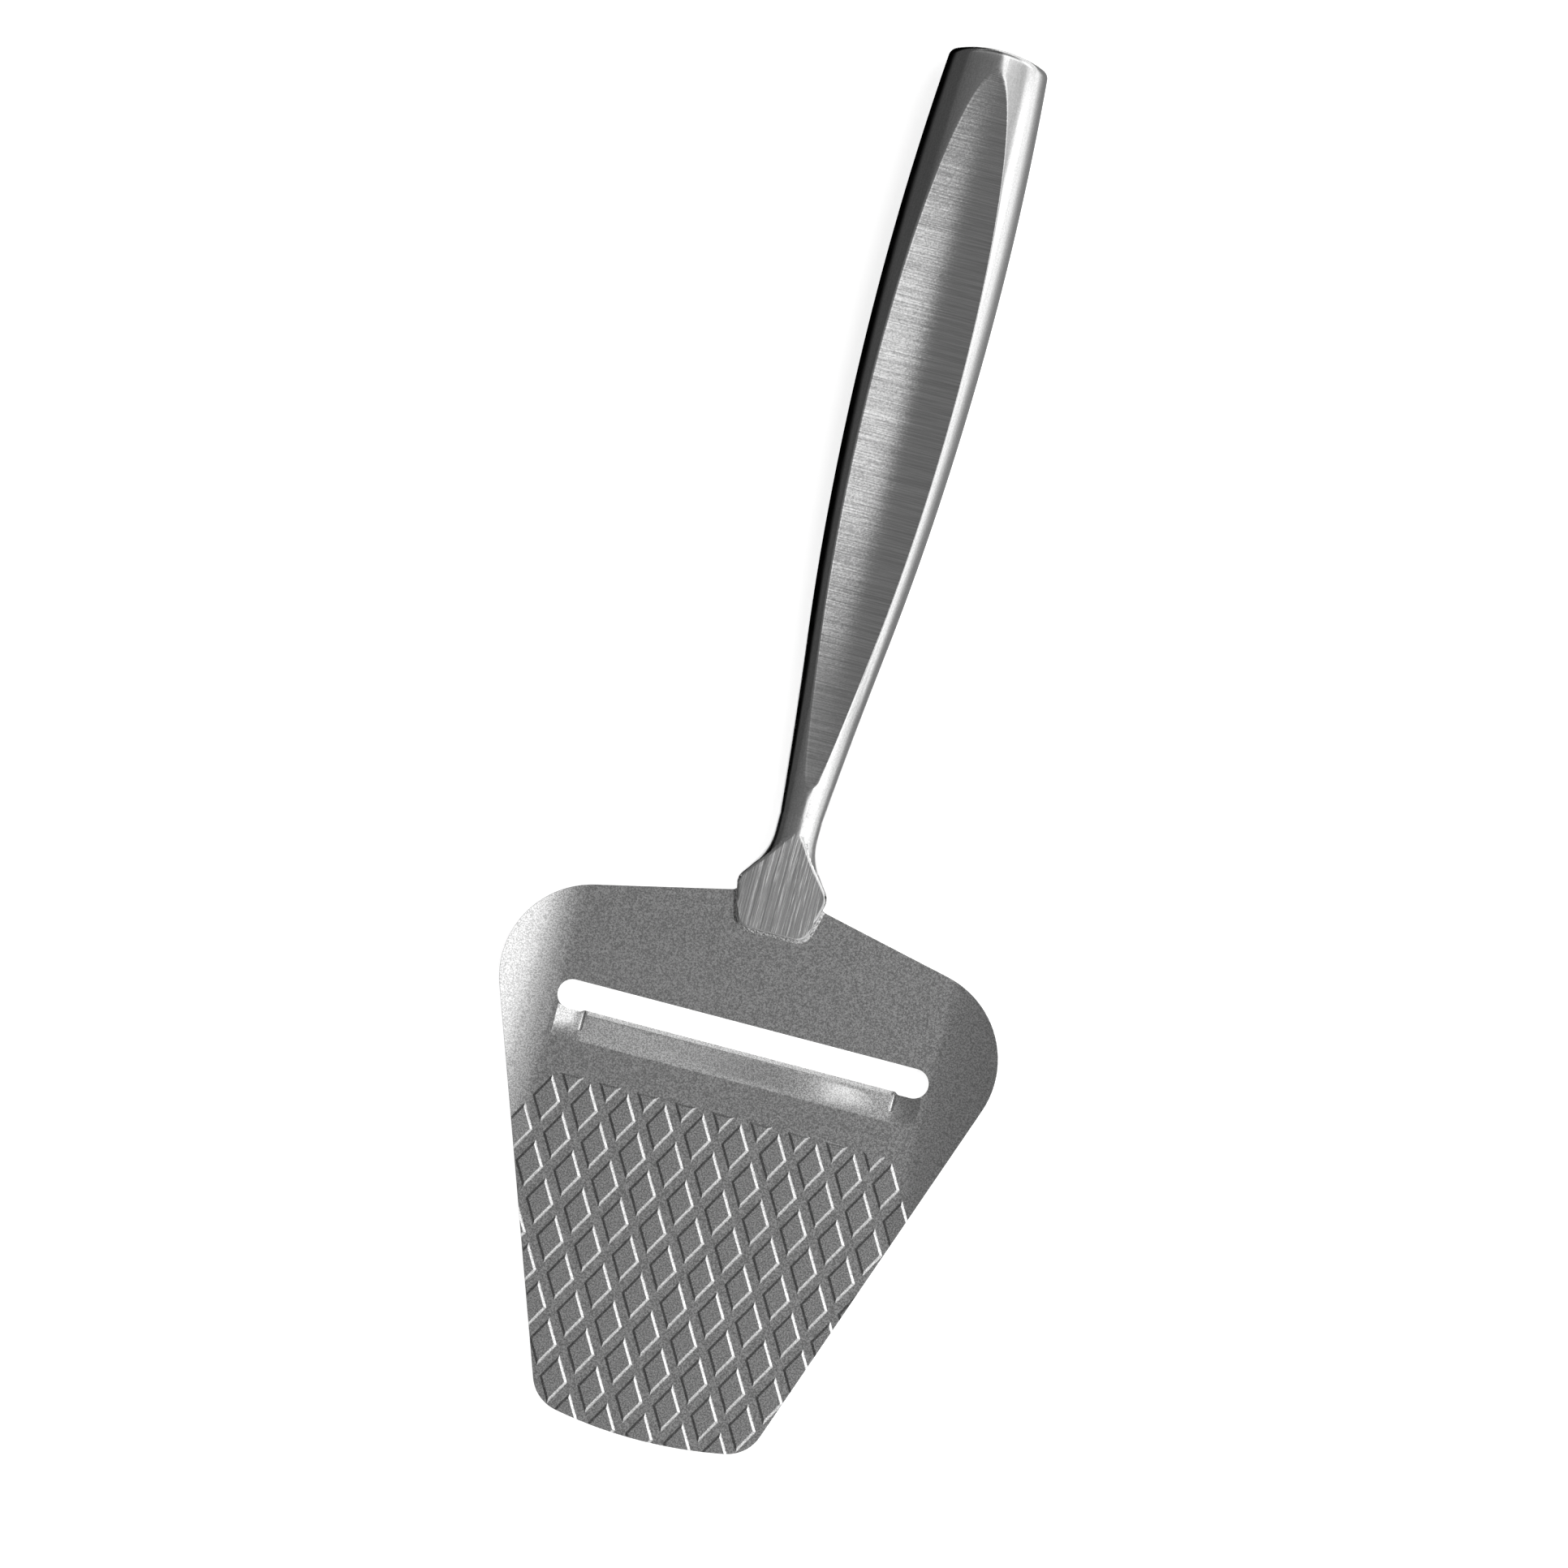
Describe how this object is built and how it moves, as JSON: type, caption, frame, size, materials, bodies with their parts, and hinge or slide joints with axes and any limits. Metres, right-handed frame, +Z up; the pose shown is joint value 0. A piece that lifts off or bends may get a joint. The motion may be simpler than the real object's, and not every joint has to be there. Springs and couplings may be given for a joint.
{
  "type": "cheese slicer",
  "caption": "Stainless steel cheese slicer: a sheet blade with a slicing slot, pressed cutting lip and diamond relief, on a hollow round handle with flat panels.",
  "frame": {"origin": "middle of the whole length and width, on the surface that the slicer stands on", "axes": "+Y from the blade's tip to the handle's butt, +Z up, out of the side that the slices slide over"},
  "size_m": [0.085, 0.2396, 0.017],
  "materials": {
    "blade_sheet": "fine blasted satin, ground bright along the cutting edge",
    "shank_bar": "polished neck with a coarsely brushed flat",
    "weld_metal": "rough weld bead",
    "handle_shell": "mirror polished sides, flat panel brushed across"
  },
  "bodies": {
    "root": {"slicing_plate": "blade_sheet", "shank": "shank_bar", "palm_weld": "weld_metal", "handle_front_shell": "handle_shell", "handle_rear_shell": "handle_shell"}
  },
  "joints": []
}
